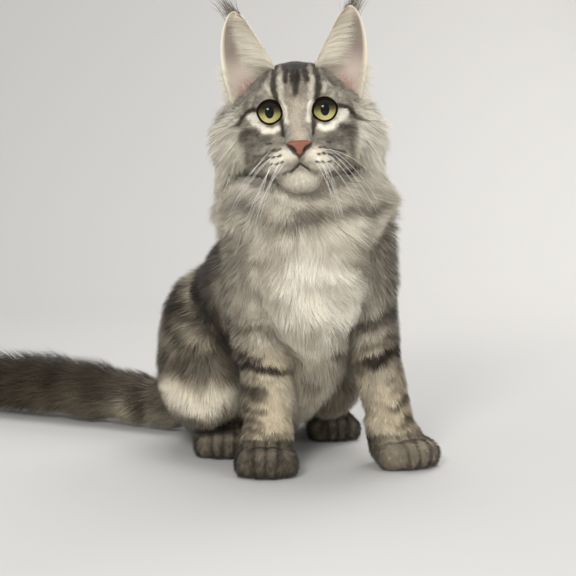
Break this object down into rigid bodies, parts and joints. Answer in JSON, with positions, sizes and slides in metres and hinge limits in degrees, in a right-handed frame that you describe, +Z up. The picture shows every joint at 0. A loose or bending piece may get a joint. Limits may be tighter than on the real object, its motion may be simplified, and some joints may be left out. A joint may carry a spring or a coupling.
{
  "type": "maine coon cat, still life-size model",
  "caption": "Long-haired Maine Coon cat sitting upright, head to the front, ruff and bushy tail laid along the floor, as a still life-size model.",
  "frame": {"origin": "on the floor, below the middle of the bounding box", "axes": "+Z up; the cat looks along -Y; its left side is towards +X and its tail runs towards -X"},
  "size_m": [0.506, 0.3764, 0.3924],
  "materials": {
    "face_coat": "short tabby fur",
    "pale_coat": "long pale fur",
    "grey_coat": "long mottled fur",
    "dark_coat": "long dark fur",
    "paw_coat": "short dense fur",
    "ear_skin": "thin skin with fine hair",
    "nose_leather": "moist and finely pebbled",
    "eye": "wet and clear over a yellow-green iris"
  },
  "bodies": {
    "root": {"head": "face_coat", "ear_left": "ear_skin", "ear_right": "ear_skin", "eye_left": "eye", "eye_right": "eye", "nose": "nose_leather", "neck": "pale_coat", "chest": "grey_coat", "rump": "grey_coat", "foreleg_left": "pale_coat", "foreleg_right": "pale_coat", "forepaw_left": "paw_coat", "forepaw_right": "paw_coat", "haunch_left": "grey_coat", "haunch_right": "grey_coat", "hindpaw_left": "paw_coat", "hindpaw_right": "paw_coat", "tail_base": "dark_coat", "tail_middle": "dark_coat", "tail_tip": "dark_coat"}
  },
  "joints": []
}
